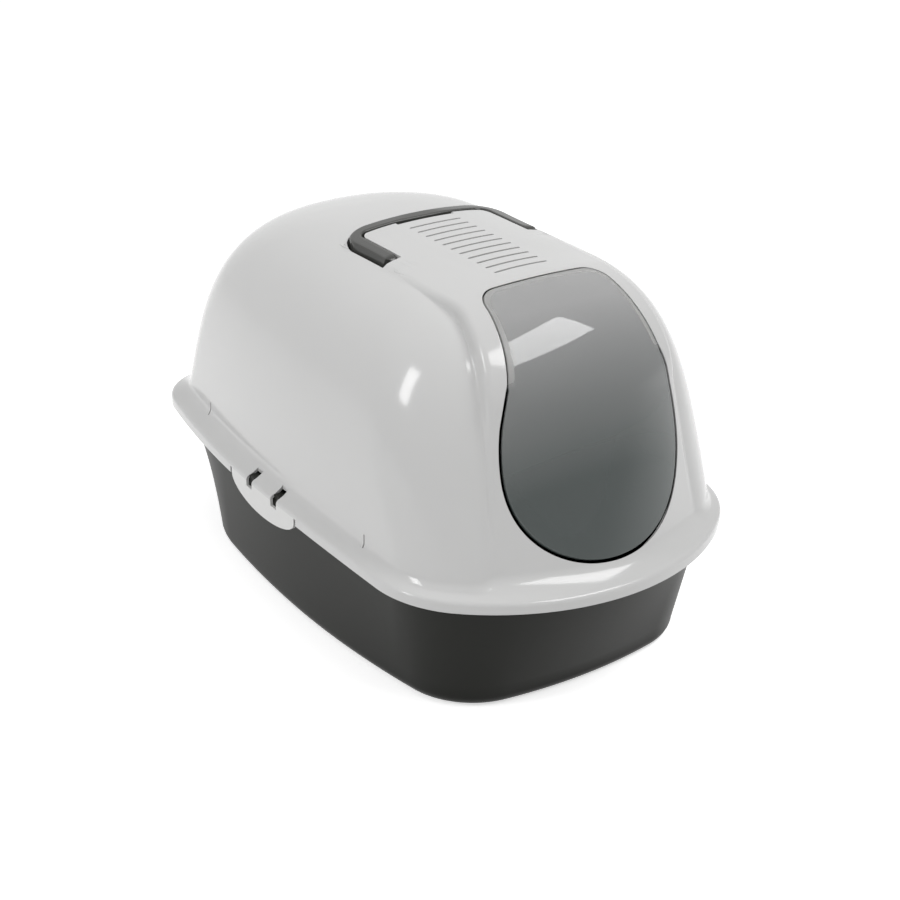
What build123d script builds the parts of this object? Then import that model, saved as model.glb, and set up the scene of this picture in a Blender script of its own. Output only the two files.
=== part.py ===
from build123d import *

import math
import os

# Covered cat litter box: a deep tray, a domed hood that hooks onto it, a swing door with a
# balancing visor, a carry handle that folds flush into the roof and a filter under the vents.
# Millimetres. Origin: middle of the footprint, on the floor. +Z up, the door faces -Y.

# ---- driving dimensions -------------------------------------------------------------------
HALF_WIDTH = 170.0            # lip of the hood, sideways
HALF_LENGTH = 285.0           # lip of the hood, front and back
LIP_Z = 110.5                 # lower edge of the hood's lip
DOME_TOP_Z = 332.5
ROOF_Z = 334.0                # flat top of the raised panel
WALL = 2.6                    # hood wall
TRAY_WALL = 2.8
GAP = 0.35                    # clearance between bodies that don't touch
PIN_FIT = 0.06                # radial running clearance of pins

# Plan outline of the lip: bowed ends and sides joined by large corners.
SIDE_BOW_FRONT = 4.0
SIDE_BOW_BACK = 28.0
FRONT_BOW = 84.0
BACK_BOW = 28.0
CORNER_FRONT = 94.0
CORNER_BACK = 60.0

# Dome
DOME_Z = 124.0                # the dome's wall rises from the flange here
FLANGE_WIDTH = 13.5           # lip to dome wall
DOME_FRONT_SETBACK = 3.0      # extra at the front, so that the panel stays proud of it
APEX_Y = -60.0
SIDE_POWER = 3.15             # superellipse exponents of the dome's upright sections
FRONT_POWER = 3.15
BACK_POWER = 3.35
FRONT_LEAN = 0.65             # how far the front and back lean in half way up
BACK_LEAN = 0.24
TOP_ROUNDNESS = 0.93          # corner radius over half width at the top of the dome
TOP_BACK_BOW = 0.30
DOME_STEPS = (0.0, 0.14, 0.32, 0.52, 0.70, 0.84, 0.93, 0.975, 0.995)

# Flange that overhangs the tray
FLANGE_EDGE_Z = 120.1         # where the sloping top would meet the lip's outer face
FLANGE_SLOPE = math.tan(math.radians(20))
FLANGE_EDGE_R = 4.0
FLANGE_REACH = 20.0           # how far in the sloping top runs, into the dome's wall

# Raised panel: centre line in the YZ plane, from the roof over the shoulder down the front.
SHOULDER_Y = -229.0           # where the straight front turns into the shoulder
SHOULDER_Z = 260.0
FRONT_TILT = math.radians(15.7)
PANEL_FOOT_Z = 118.0
PANEL_DEPTH = 24.0
PANEL_EDGE_R = 5.0
PANEL_STEPS = 12
CROWN = ((0, 380.0), (80, 300.0), (140, 215.0), (300, 165.0))       # distance forward, crown radius
PANEL_HALF = ((-20, 81.0), (20, 79.0), (110, 91.0), (290, 104.0))   # distance forward, half width

# Door: outline in the plane that faces up and forward at 45 degrees, v up the slope.
DOOR_THICKNESS = 2.4
DOOR_GAP_TOP = 1.2            # round the visor
DOOR_GAP_BOTTOM = 2.6         # round the flap, so its lower edge swings clear both ways
OPENING_TOP_V = 133.0
OPENING_TOP_HALF = 60.0
OPENING_MIDDLE = (66.0, 91.0)
OPENING_PIVOT = (75.0, 50.0)
OPENING_WIDE = (88.5, -8.0)
OPENING_BOTTOM_V = -93.5
OPENING_CORNER = 17.0
OPENING_NEAR = 225.0          # the cut runs between these depths, front wall only
OPENING_FAR = 420.0
PIVOT_Y = -203.0
PIVOT_Z = 271.0
PIVOT_LEAN = 28.0             # the panel's normal there, degrees above level
PIVOT_R = 3.0
PIVOT_BOSS_R = 6.2
PIVOT_EAR = (66.5, 72.4)      # door's ear, sideways
PIVOT_BOSS = (76.4, 84.0)     # hood's boss, sideways
PIN_END = 81.5

# Vents
VENTS = 11
VENT_PITCH = 12.3
VENT_LENGTH = 52.0
VENT_WIDTH = 2.6
VENT_FIRST_Y = -121.5

# Carry handle, folded down: a crowned bar across the roof and two arms forward to its pegs.
HANDLE_OUTER = 80.5
HANDLE_ARM = 11.0             # arm thickness, sideways
HANDLE_BACK_Y = 33.0
HANDLE_BAR = 11.0             # bar depth, front to back
HANDLE_TOP_Z = 335.5
HANDLE_BAR_HEIGHT = 8.5
HANDLE_LOW_Z = 316.0          # underside of the arms where they meet the bar
HANDLE_CORNER = 30.0
HANDLE_CROWN = 380.0          # radius of its top, like the roof's
PEG_Y = -34.0
PEG_Z = 321.5
PEG_R = 3.0
PEG_REACH = 9.0               # from the arm's inner face inwards
ARM_END_R = 8.5
POCKET_GAP = 1.9              # room round the handle
POCKET_SIDE_GAP = 1.4         # between the arms and the pocket's inner side walls
SCOOP_HALF = 29.0             # finger scoop in front of the bar and under it
SCOOP_REACH = 6.5
SCOOP_FLOOR_Z = 309.0
SCOOP_R = 5.0

# Side latches
LATCH_Y = 14.5
LATCH_HALF = 56.5
LATCH_ROOT_Z = 117.0
LATCH_DROP = 18.0             # below the springing line of its rounded end
LATCH_SPRING_Z = 112.0
LATCH_NOTCH = 3.0
WINDOW_SPACING = 22.0         # from the latch's middle
WINDOW_SIZE = 10.0
WINDOW_LOW_Z = 111.8
WINDOW_INSET = 11.0
LUG_SIZE = 8.6
LUG_TOP_Z = 122.0
LUG_CLEARANCE = 0.6           # inside the tongue's inner face
TICK_SPACING = 146.0
TICK_HEIGHT = 12.0
TICK_WIDTH = 1.6

# Tray
TRAY_HALF_WIDTH = 151.0
TRAY_FRONT = 232.0
TRAY_BACK = 238.0
TRAY_BOTTOM_R = 12.0
TRAY_TOP_INSET = 14.0         # from the hood's lip
RIM_INSET = WALL + 0.5
RIM_TOP_Z = 118.0
RIM_LOW_Z = 111.4
RIM_THICKNESS = 2.4
TRAY_SHAPE = (26.0, 14.0, 17.5, 60.0, 71.0, 120.0)  # bows of sides and ends, corner radii
FOOT_WIDTH = 4.0
FOOT_HEIGHT = 1.2

# Filter
FILTER_HALF = 38.0
FILTER_FRONT_Y = -123.0
FILTER_BACK_Y = -1.0
FILTER_TOP_Z = 327.5
FILTER_LOW_Z = 315.5
FILTER_WALL = 1.8
FILTER_FLOOR = 2.0
FILTER_BARS = 8
FILTER_END_WALL = 5.0
FILTER_HINGE_Y = -3.5
FILTER_HINGE_Z = 320.0
FILTER_PIN_R = 1.7
PAD_THICKNESS = 7.5
RAIL = 3.0

os.makedirs("parts", exist_ok=True)


def circles_meet(y0, r0, x1, r1, toward):
    """Where a circle centred on the Y axis meets one centred on the X axis, at x > 0."""
    gap = math.hypot(x1, y0)
    along = (r0 ** 2 - r1 ** 2 + gap ** 2) / (2 * gap)
    across = math.sqrt(r0 ** 2 - along ** 2)
    ux, uy = x1 / gap, -y0 / gap
    points = [(along * ux - side * across * uy, y0 + along * uy + side * across * ux) for side in (-1, 1)]
    return max(points, key=lambda point: toward * point[1])


def half_outline(half_width, length, side_bow, end_bow, inset, toward):
    """End arc and right side arc of one end of an outline, `toward` -1 for the front, 1 for the back."""
    corner_x = half_width - side_bow
    corner_y = length - end_bow
    end_r = (corner_x ** 2 + end_bow ** 2) / (2 * end_bow)
    side_r = (side_bow ** 2 + corner_y ** 2) / (2 * side_bow)
    centre = half_width - side_r
    x, y = circles_meet(toward * (length - end_r), end_r - inset, centre, side_r - inset, toward)
    middle = math.atan2(y, x - centre) / 2
    reach = side_r - inset
    end = ThreePointArc((-x, y), (0, toward * (length - inset)), (x, y))
    side_middle = (centre + reach * math.cos(middle), reach * math.sin(middle))
    side = ThreePointArc((half_width - inset, 0), side_middle, (x, y))
    return [end, side, mirror(side, about=Plane.YZ)], y


def plan_outline(half_width, front, back, side_front, side_back, bow_front, bow_back, r_front, r_back,
                 inset=0.0):
    """Face with bowed ends and sides and rounded corners, moved in by `inset` all round."""
    front_edges, front_y = half_outline(half_width, front, side_front, bow_front, inset, -1)
    back_edges, back_y = half_outline(half_width, back, side_back, bow_back, inset, 1)
    face = make_face(front_edges + back_edges)
    face = fillet(face.vertices().filter_by(lambda v: abs(v.Y - front_y) < 0.01), r_front - inset)
    return fillet(face.vertices().filter_by(lambda v: abs(v.Y - back_y) < 0.01), r_back - inset)


def lip_inset(distance):
    """The lip's plan outline moved inwards by a distance."""
    return plan_outline(HALF_WIDTH, HALF_LENGTH, HALF_LENGTH, SIDE_BOW_FRONT, SIDE_BOW_BACK,
                        FRONT_BOW, BACK_BOW, CORNER_FRONT, CORNER_BACK, distance)


def quarter_ellipse(t, power):
    return (1 - t ** power) ** (1 / power)


def dome(inset, drop=0.0):
    """Solid dome, all round `inset` inside the outer one, with a base lowered by `drop`."""
    base_width = HALF_WIDTH - FLANGE_WIDTH
    base_length = HALF_LENGTH - FLANGE_WIDTH
    lip_radius = ((HALF_WIDTH - SIDE_BOW_FRONT) ** 2 + FRONT_BOW ** 2) / (2 * FRONT_BOW)
    base_radius = lip_radius - FLANGE_WIDTH
    base_bow = base_radius - math.sqrt(base_radius ** 2 - (base_width - SIDE_BOW_FRONT) ** 2)
    sections = []
    for t in DOME_STEPS:
        lean = t * (1 - t)
        width = base_width * quarter_ellipse(t, SIDE_POWER)
        front = (base_length - DOME_FRONT_SETBACK + APEX_Y) * (quarter_ellipse(t, FRONT_POWER) - FRONT_LEAN * lean)
        back = (base_length - APEX_Y) * (quarter_ellipse(t, BACK_POWER) - BACK_LEAN * lean)
        share = width / base_width
        flatter = t ** 0.41
        rounder = t ** 1.6
        bow_front = share * base_bow * (1 - flatter) + 0.02 * width * flatter
        bow_back = share * BACK_BOW * (1 - rounder) + TOP_BACK_BOW * width * rounder
        r_front = share * (CORNER_FRONT - FLANGE_WIDTH) * (1 - rounder) + TOP_ROUNDNESS * width * rounder
        r_back = share * (CORNER_BACK - FLANGE_WIDTH) * (1 - rounder) + TOP_ROUNDNESS * width * rounder
        r_back = min(r_back, width - SIDE_BOW_BACK * share)
        outline = plan_outline(width, front, back, SIDE_BOW_FRONT * share, SIDE_BOW_BACK * share,
                               bow_front, bow_back, r_front, r_back, inset)
        height = (DOME_TOP_Z - DOME_Z - inset) * t
        sections.append(Pos(0, APEX_Y, DOME_Z + height) * outline)
    if drop:
        sections.insert(0, Pos(0, 0, -drop) * sections[0])
    return loft(sections)


SHOULDER_R = (ROOF_Z - SHOULDER_Z) / (1 - math.sin(FRONT_TILT))
SHOULDER_LENGTH = SHOULDER_R * (math.pi / 2 - FRONT_TILT)
ROOF_FRONT_Y = SHOULDER_Y + SHOULDER_R * math.cos(FRONT_TILT)


def centre_line(s):
    """Point and outward normal (y, z) at distance s forward of the roof's front edge."""
    if s < 0:
        return (ROOF_FRONT_Y - s, ROOF_Z), (0.0, 1.0)
    if s < SHOULDER_LENGTH:
        angle = math.pi / 2 - s / SHOULDER_R
        normal = (-math.cos(angle), math.sin(angle))
        centre = (ROOF_FRONT_Y, ROOF_Z - SHOULDER_R)
        return (centre[0] + SHOULDER_R * normal[0], centre[1] + SHOULDER_R * normal[1]), normal
    down = s - SHOULDER_LENGTH
    normal = (-math.cos(FRONT_TILT), math.sin(FRONT_TILT))
    return (SHOULDER_Y - down * math.sin(FRONT_TILT), SHOULDER_Z - down * math.cos(FRONT_TILT)), normal


def blend(s, pairs):
    """Straight-line interpolation in a short table of (s, value)."""
    for (s0, v0), (s1, v1) in zip(pairs, pairs[1:]):
        if s <= s1:
            return v0 + (v1 - v0) * max(0.0, (s - s0) / (s1 - s0))
    return pairs[-1][1]


PANEL_BACK_Y = HANDLE_BACK_Y - HANDLE_BAR - POCKET_GAP - 0.3
PANEL_START = ROOF_FRONT_Y - PANEL_BACK_Y
PANEL_END = SHOULDER_LENGTH + (SHOULDER_Z - PANEL_FOOT_Z) / math.cos(FRONT_TILT)


def band(half_width, top, bottom, edge_radius=0.0, start=PANEL_START, end=PANEL_END):
    """Solid that follows the panel's crowned surface, from `top` above it to `bottom` below."""
    sections = []
    for step in range(PANEL_STEPS + 1):
        s = start + (end - start) * step / PANEL_STEPS
        (y, z), (ny, nz) = centre_line(s)
        width = half_width(s)
        crown = blend(s, CROWN) + top
        sag = crown - math.sqrt(crown ** 2 - width ** 2)
        # Local frame: x sideways, y along the outward normal.
        edge = top - sag
        floor = -sag - bottom
        outline = make_face([
            ThreePointArc((-width, edge), (0, top), (width, edge)),
            Line((width, edge), (width, floor)),
            Line((width, floor), (-width, floor)),
            Line((-width, floor), (-width, edge)),
        ])
        if edge_radius:
            corners = outline.vertices().filter_by(lambda v: v.Y > floor + 0.01)
            outline = fillet(corners, edge_radius)
        plane = Plane(origin=(0, y, z), x_dir=(1, 0, 0), z_dir=(0, -nz, ny))
        sections.append(plane * outline)
    return loft(sections)


def panel_half(s):
    return blend(s, PANEL_HALF)


def flange_edge_z(inset, drop):
    """Height of the flange's sloping top at a distance in from the lip."""
    return FLANGE_EDGE_Z + FLANGE_SLOPE * inset - drop


def flange(inset, low_z, drop, edge_radius=0.0):
    """Solid plug under the flange's sloping top."""
    edge_z = flange_edge_z(inset, drop)
    edge = lip_inset(inset)
    far = FLANGE_REACH + inset
    skirt = extrude(Pos(0, 0, low_z) * edge, amount=edge_z - low_z)
    cap = loft([Pos(0, 0, edge_z) * edge, Pos(0, 0, flange_edge_z(far, drop)) * lip_inset(far)], ruled=True)
    body = skirt + cap
    if edge_radius:
        rim = body.edges().filter_by(lambda e: abs(e.center().Z - edge_z) < 0.01)
        body = fillet(rim, edge_radius)
    return body


def across(face):
    """Extrude a face drawn in the YZ plane right through, both ways."""
    return extrude(Plane.YZ * face, amount=HALF_WIDTH + 10, both=True)


def box(x, y, z):
    """Box from pairs of limits."""
    size = (x[1] - x[0], y[1] - y[0], z[1] - z[0])
    return Pos((x[0] + x[1]) / 2, (y[0] + y[1]) / 2, (z[0] + z[1]) / 2) * Box(*size)


def both_sides(shape):
    """The shape and its mirror image on the other side."""
    return shape, mirror(shape, about=Plane.YZ)


# ---- shared shapes of the hood ------------------------------------------------------------
SKY_Z = ROOF_Z + 20           # above everything, for cuts that are open at the top
ARM_INNER = HANDLE_OUTER - HANDLE_ARM
POCKET_INNER = ARM_INNER - POCKET_SIDE_GAP
SLOPE_DROP = WALL * math.sqrt(1 + FLANGE_SLOPE ** 2)
slope = Plane(origin=(0, 0, 0), x_dir=(1, 0, 0), z_dir=(0, -1, 1))


def opening_outline(visor_gap, flap_gap):
    """Straight top, sides that flare out below the pivots, elliptical bottom; both gaps lie inside it."""
    top = (OPENING_TOP_HALF - visor_gap, OPENING_TOP_V - visor_gap)
    middle = (OPENING_MIDDLE[0] - visor_gap, OPENING_MIDDLE[1])
    visor_end = (OPENING_PIVOT[0] - visor_gap, OPENING_PIVOT[1])
    flap_start = (OPENING_PIVOT[0] - flap_gap, OPENING_PIVOT[1])
    wide = (OPENING_WIDE[0] - flap_gap, OPENING_WIDE[1])
    drop = OPENING_WIDE[1] - OPENING_BOTTOM_V - flap_gap
    side = [
        Spline([top, middle, visor_end], tangents=[(0.05, -1), (0.3, -1)]),
        Spline([flap_start, wide], tangents=[(0.5, -1), (0, -1)]),
    ]
    if flap_gap != visor_gap:
        side.append(Line(visor_end, flap_start))
    edges = [Line((-top[0], top[1]), top)]
    edges.append(EllipticalCenterArc((0, wide[1]), wide[0], drop, start_angle=180, arc_size=180))
    for edge in side:
        edges += both_sides(edge)
    face = make_face(edges)
    return fillet(face.vertices().filter_by(lambda v: v.Y > top[1] - 0.01), OPENING_CORNER - visor_gap)


def through_slope(face):
    """Prism of a face drawn in the sloping plane, through the front wall only."""
    return extrude(slope * Pos(0, 0, OPENING_NEAR) * face, amount=OPENING_FAR - OPENING_NEAR)


def pivot_lug(x, radius):
    """Block from a disc round the door's pivot out to the panel, for an ear or a boss."""
    pivot = Pos(PIVOT_Y, PIVOT_Z)
    arm = pivot * Rot(0, 0, 180 - PIVOT_LEAN) * Pos(10, 0) * Rectangle(20, 2 * radius)
    return Pos(x[0], 0, 0) * extrude(Plane.YZ * (pivot * Circle(radius) + arm), amount=x[1] - x[0])


def rod(x, y, z, radius):
    """Cylinder along X between two limits."""
    return Pos((x[0] + x[1]) / 2, y, z) * Rot(0, 90, 0) * Cylinder(radius, x[1] - x[0])


def handle_plan(inner_half, grow):
    """U of the folded handle seen from above, open to the front."""
    front = PEG_Y - ARM_END_R - grow
    back = HANDLE_BACK_Y + grow
    bar_front = HANDLE_BACK_Y - HANDLE_BAR - grow
    outside = Pos(0, (front + back) / 2) * Rectangle(2 * (HANDLE_OUTER + grow), back - front)
    outside = fillet(outside.vertices().filter_by(lambda v: v.Y > 0), HANDLE_CORNER + grow)
    inside = Pos(0, (front - 1 + bar_front) / 2) * Rectangle(2 * inner_half, bar_front - front + 1)
    inside = fillet(inside.vertices().filter_by(lambda v: v.Y > 0), HANDLE_CORNER - HANDLE_ARM)
    return outside - inside


def handle_side(grow, top):
    """Side view of the folded handle in the YZ plane: pivot disc, arm and bar."""
    bar_front = HANDLE_BACK_Y - HANDLE_BAR
    low = HANDLE_LOW_Z - grow
    radius = ARM_END_R + grow
    arm = make_face(Polyline(
        (PEG_Y, PEG_Z + radius), (HANDLE_BACK_Y + grow, HANDLE_TOP_Z + grow), (HANDLE_BACK_Y + grow, low),
        (bar_front, low), (PEG_Y, PEG_Z - radius), close=True,
    ))
    side = arm + Pos(PEG_Y, PEG_Z) * Circle(radius)
    if top:
        front = PEG_Y - radius
        back = HANDLE_BACK_Y + grow
        side += Pos((front + back) / 2, (PEG_Z + top) / 2) * Rectangle(back - front, top - PEG_Z)
    return side


def pocket(grow):
    """Room for the folded handle and the finger scoop behind it; `grow` adds the wall round it."""
    plan = handle_plan(POCKET_INNER - grow, POCKET_GAP + grow)
    arms = extrude(plan, amount=SKY_Z) & across(handle_side(POCKET_GAP + grow, SKY_Z))
    front = HANDLE_BACK_Y - HANDLE_BAR - SCOOP_REACH - grow
    back = HANDLE_BACK_Y + POCKET_GAP + grow
    floor_z = SCOOP_FLOOR_Z - grow
    scoop = Pos((front + back) / 2, (floor_z + SKY_Z) / 2) * Rectangle(back - front, SKY_Z - floor_z)
    scoop = fillet(scoop.vertices().filter_by(lambda v: v.Y < floor_z + 1), SCOOP_R)
    return arms + extrude(Plane.YZ * scoop, amount=SCOOP_HALF + grow, both=True)


def latch_outline(grow):
    """Half-round tongue seen from the side, in the YZ plane."""
    half = LATCH_HALF + grow
    return make_face([
        Line((LATCH_Y - half, LATCH_ROOT_Z), (LATCH_Y + half, LATCH_ROOT_Z)),
        Line((LATCH_Y + half, LATCH_ROOT_Z), (LATCH_Y + half, LATCH_SPRING_Z)),
        EllipticalCenterArc((LATCH_Y, LATCH_SPRING_Z), half, LATCH_DROP + grow, start_angle=180, arc_size=180),
        Line((LATCH_Y - half, LATCH_SPRING_Z), (LATCH_Y - half, LATCH_ROOT_Z)),
    ])


windows = [
    box((HALF_WIDTH - WINDOW_INSET, HALF_WIDTH + 5),
        (LATCH_Y + step * WINDOW_SPACING - WINDOW_SIZE / 2, LATCH_Y + step * WINDOW_SPACING + WINDOW_SIZE / 2),
        (WINDOW_LOW_Z, ROOF_Z / 2))
    for step in (-1, 1)
]
windows += [mirror(window, about=Plane.YZ) for window in windows]

# ---- hood ---------------------------------------------------------------------------------
outer = flange(0, LIP_Z, 0, FLANGE_EDGE_R) + dome(0) + band(panel_half, 0, PANEL_DEPTH, PANEL_EDGE_R)
cavity = flange(WALL, LIP_Z - 20, SLOPE_DROP) + dome(WALL, 6)
cavity += band(lambda s: panel_half(s) - WALL, -WALL, PANEL_DEPTH + 12)
cavity -= pocket(WALL)
rail = (FILTER_HALF + GAP, FILTER_HALF + GAP + RAIL)
for solid in both_sides(pivot_lug(PIVOT_BOSS, PIVOT_BOSS_R)):
    cavity -= solid
for solid in both_sides(box(rail, (FILTER_FRONT_Y, FILTER_BACK_Y + 3), (FILTER_LOW_Z + 1, ROOF_Z + 6))):
    cavity -= solid
hood = outer - cavity

hood -= through_slope(opening_outline(0, 0))
hood -= pocket(0)
for bore in both_sides(rod((PIVOT_BOSS[0] - 1, PIN_END + 0.6), PIVOT_Y, PIVOT_Z, PIVOT_R + PIN_FIT)):
    hood -= bore
peg_end = ARM_INNER - PEG_REACH
for bore in both_sides(rod((peg_end - 1, POCKET_INNER + 1), PEG_Y, PEG_Z, PEG_R + PIN_FIT)):
    hood -= bore
for bore in both_sides(rod((rail[0] - 1, rail[1] + 1), FILTER_HINGE_Y, FILTER_HINGE_Z, FILTER_PIN_R + PIN_FIT)):
    hood -= bore
vent = extrude(SlotOverall(VENT_LENGTH, VENT_WIDTH), amount=8, both=True)
hood -= [Pos(0, VENT_FIRST_Y + row * VENT_PITCH, ROOF_Z) * vent for row in range(VENTS)]
hood -= across(latch_outline(LATCH_NOTCH) & Pos(LATCH_Y, LATCH_ROOT_Z - 20) * Rectangle(200, 40))
hood -= windows
grooves = dome(-6) - dome(1.0)
for y in (LATCH_Y - TICK_SPACING, LATCH_Y + TICK_SPACING):
    slot = box((-HALF_WIDTH, HALF_WIDTH), (y - TICK_WIDTH / 2, y + TICK_WIDTH / 2), (DOME_Z + 3, DOME_Z + 3 + TICK_HEIGHT))
    hood -= grooves & slot

# ---- latch tongues ------------------------------------------------------------------------
deep = LIP_Z - 2 * LATCH_DROP
tongues = (flange(0, deep, 0, FLANGE_EDGE_R) - flange(WALL, deep - 5, SLOPE_DROP)) & across(latch_outline(0))
tongues -= windows

# ---- door ---------------------------------------------------------------------------------
DOOR_BLANK = OPENING_WIDE[0] + 7     # half width of the curved sheet that the door is cut from
sheet = band(lambda s: DOOR_BLANK, 0, PANEL_DEPTH)
sheet -= band(lambda s: DOOR_BLANK + 2, -DOOR_THICKNESS, PANEL_DEPTH + 10)
door = sheet & through_slope(opening_outline(DOOR_GAP_TOP, DOOR_GAP_BOTTOM))
ear_room = band(lambda s: DOOR_BLANK, -DOOR_THICKNESS / 2, PANEL_DEPTH)
for ear in both_sides(pivot_lug(PIVOT_EAR, PIVOT_BOSS_R - 0.6)):
    door += ear & ear_room
for pin in both_sides(rod((PIVOT_EAR[0], PIN_END), PIVOT_Y, PIVOT_Z, PIVOT_R)):
    door += pin

# ---- carry handle -------------------------------------------------------------------------
def crown_roller(radius, half):
    """Cylinder along Y whose top line is the handle's, cut off at a half width."""
    roller = Pos(0, HANDLE_BACK_Y, HANDLE_TOP_Z - HANDLE_CROWN) * Rot(90, 0, 0) * Cylinder(radius, 3 * HALF_WIDTH)
    return roller & box((-half, half), (-HALF_LENGTH, HALF_LENGTH), (LIP_Z, SKY_Z))


handle = extrude(handle_plan(ARM_INNER, 0), amount=SKY_Z) & across(handle_side(0, 0))
handle &= crown_roller(HANDLE_CROWN, HALF_WIDTH)
handle -= crown_roller(HANDLE_CROWN - HANDLE_BAR_HEIGHT, ARM_INNER)
for peg in both_sides(rod((peg_end, ARM_INNER + 1), PEG_Y, PEG_Z, PEG_R)):
    handle += peg

# ---- filter -------------------------------------------------------------------------------
frame = box((-FILTER_HALF, FILTER_HALF), (FILTER_FRONT_Y, FILTER_BACK_Y), (FILTER_LOW_Z, FILTER_TOP_Z))
inside_x = (FILTER_WALL - FILTER_HALF, FILTER_HALF - FILTER_WALL)
inside_y = (FILTER_FRONT_Y + FILTER_WALL, FILTER_BACK_Y - FILTER_END_WALL)
frame -= box(inside_x, inside_y, (FILTER_LOW_Z + FILTER_FLOOR, FILTER_TOP_Z + 1))
pitch_x = (inside_x[1] - inside_x[0]) / 3
pitch_y = (inside_y[1] - inside_y[0]) / FILTER_BARS
mesh = Pos(0, (inside_y[0] + inside_y[1]) / 2, FILTER_LOW_Z) * GridLocations(pitch_x, pitch_y, 3, FILTER_BARS)
frame -= [place * Box(pitch_x - FILTER_WALL, pitch_y - FILTER_WALL, 3 * FILTER_FLOOR) for place in mesh]
for pin in both_sides(rod((FILTER_HALF - 1, rail[1]), FILTER_HINGE_Y, FILTER_HINGE_Z, FILTER_PIN_R)):
    frame += pin
pad = box((inside_x[0] + 0.1, inside_x[1] - 0.1), (inside_y[0] + 0.1, inside_y[1] - 0.1),
          (FILTER_LOW_Z + FILTER_FLOOR, FILTER_LOW_Z + FILTER_FLOOR + PAD_THICKNESS))

# ---- tray ---------------------------------------------------------------------------------
def foot(inset):
    """Plan outline of the tray's foot."""
    return plan_outline(TRAY_HALF_WIDTH, TRAY_FRONT, TRAY_BACK, *TRAY_SHAPE, inset)


def tray_body(inset, floor_z, top_z):
    """Tapered tub with a rounded bottom edge; `inset` is measured in from the tray's outside."""
    radius = TRAY_BOTTOM_R - inset
    sections = []
    for angle in (0, 25, 50, 72, 90):
        a = math.radians(angle)
        distance = inset + radius * (1 - math.sin(a))
        sections.append(Pos(0, 0, floor_z + radius * (1 - math.cos(a))) * foot(distance))
    sections.append(Pos(0, 0, top_z) * lip_inset(TRAY_TOP_INSET + inset))
    return loft(sections, ruled=True)


rim = extrude(Pos(0, 0, RIM_LOW_Z) * lip_inset(RIM_INSET), amount=RIM_TOP_Z - RIM_LOW_Z)
rim -= extrude(Pos(0, 0, RIM_LOW_Z - 1) * lip_inset(RIM_INSET + RIM_THICKNESS),
               amount=RIM_TOP_Z - RIM_LOW_Z + 1 - RIM_THICKNESS)
tray = rim + tray_body(0, 0, RIM_TOP_Z) - tray_body(TRAY_WALL, TRAY_WALL + FOOT_HEIGHT, RIM_TOP_Z + 1)
tray -= extrude(Pos(0, 0, -1) * foot(FOOT_WIDTH + TRAY_BOTTOM_R), amount=1 + FOOT_HEIGHT)
for step in (-1, 1):
    y = LATCH_Y + step * WINDOW_SPACING
    for lug in both_sides(box((HALF_WIDTH - WINDOW_INSET + 0.6, HALF_WIDTH - RIM_INSET - LUG_CLEARANCE),
                              (y - LUG_SIZE / 2, y + LUG_SIZE / 2), (RIM_TOP_Z - 1, LUG_TOP_Z))):
        tray += lug

# ---- write the pieces ---------------------------------------------------------------------
left, right = sorted(tongues.solids(), key=lambda solid: solid.center().X)
pieces = {
    "tray": tray,
    "hood": hood,
    "left_latch_tongue": left,
    "right_latch_tongue": right,
    "door": door,
    "carry_handle": handle,
    "filter_frame": frame,
    "carbon_filter": pad,
}
for name, shape in pieces.items():
    export_step(shape, f"parts/{name}.step")
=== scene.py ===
"""Covered cat litter box: visual model built over its CAD frame, in metres.

Every new piece is a surface worked out with numpy in the CAD frame's own coordinates: +Z up, the
swing door faces -Y, the origin lies on the floor under the middle of the box.
"""

import math

import bmesh
import bpy
import numpy as np
from mathutils import Matrix, Vector


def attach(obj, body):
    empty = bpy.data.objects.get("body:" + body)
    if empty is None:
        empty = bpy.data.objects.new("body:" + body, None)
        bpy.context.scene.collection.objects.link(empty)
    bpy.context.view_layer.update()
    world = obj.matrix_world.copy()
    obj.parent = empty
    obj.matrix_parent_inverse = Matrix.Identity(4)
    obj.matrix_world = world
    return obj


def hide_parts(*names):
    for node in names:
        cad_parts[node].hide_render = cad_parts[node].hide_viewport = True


bl_info = {
    "name": "Covered Litter Box",
    "version": (1, 0, 0),
    "blender": (4, 5, 0),
    "location": "View3D > Sidebar > Litter Box",
    "description": "Builds a hooded cat litter box with a swing door and a carry handle",
    "category": "Add Mesh",
}

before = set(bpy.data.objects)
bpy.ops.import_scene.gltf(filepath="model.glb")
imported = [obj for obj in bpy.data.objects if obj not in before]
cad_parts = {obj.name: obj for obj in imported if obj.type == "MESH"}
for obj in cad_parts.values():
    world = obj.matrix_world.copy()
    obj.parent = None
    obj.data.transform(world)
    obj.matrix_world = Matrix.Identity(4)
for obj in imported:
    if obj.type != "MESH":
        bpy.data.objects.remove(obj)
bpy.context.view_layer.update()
MM = 0.001


# ---- settings -----------------------------------------------------------------------------
def colour_setting(name, default, description):
    """Colour property: red, green and blue from 0 to 1."""
    return bpy.props.FloatVectorProperty(name=name, description=description, subtype="COLOR",
                                         size=3, min=0, max=1, default=default)


def length_setting(name, default, low, high, description):
    """Length property, in metres."""
    return bpy.props.FloatProperty(name=name, description=description, subtype="DISTANCE",
                                   unit="LENGTH", min=low, max=high, default=default)


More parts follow.
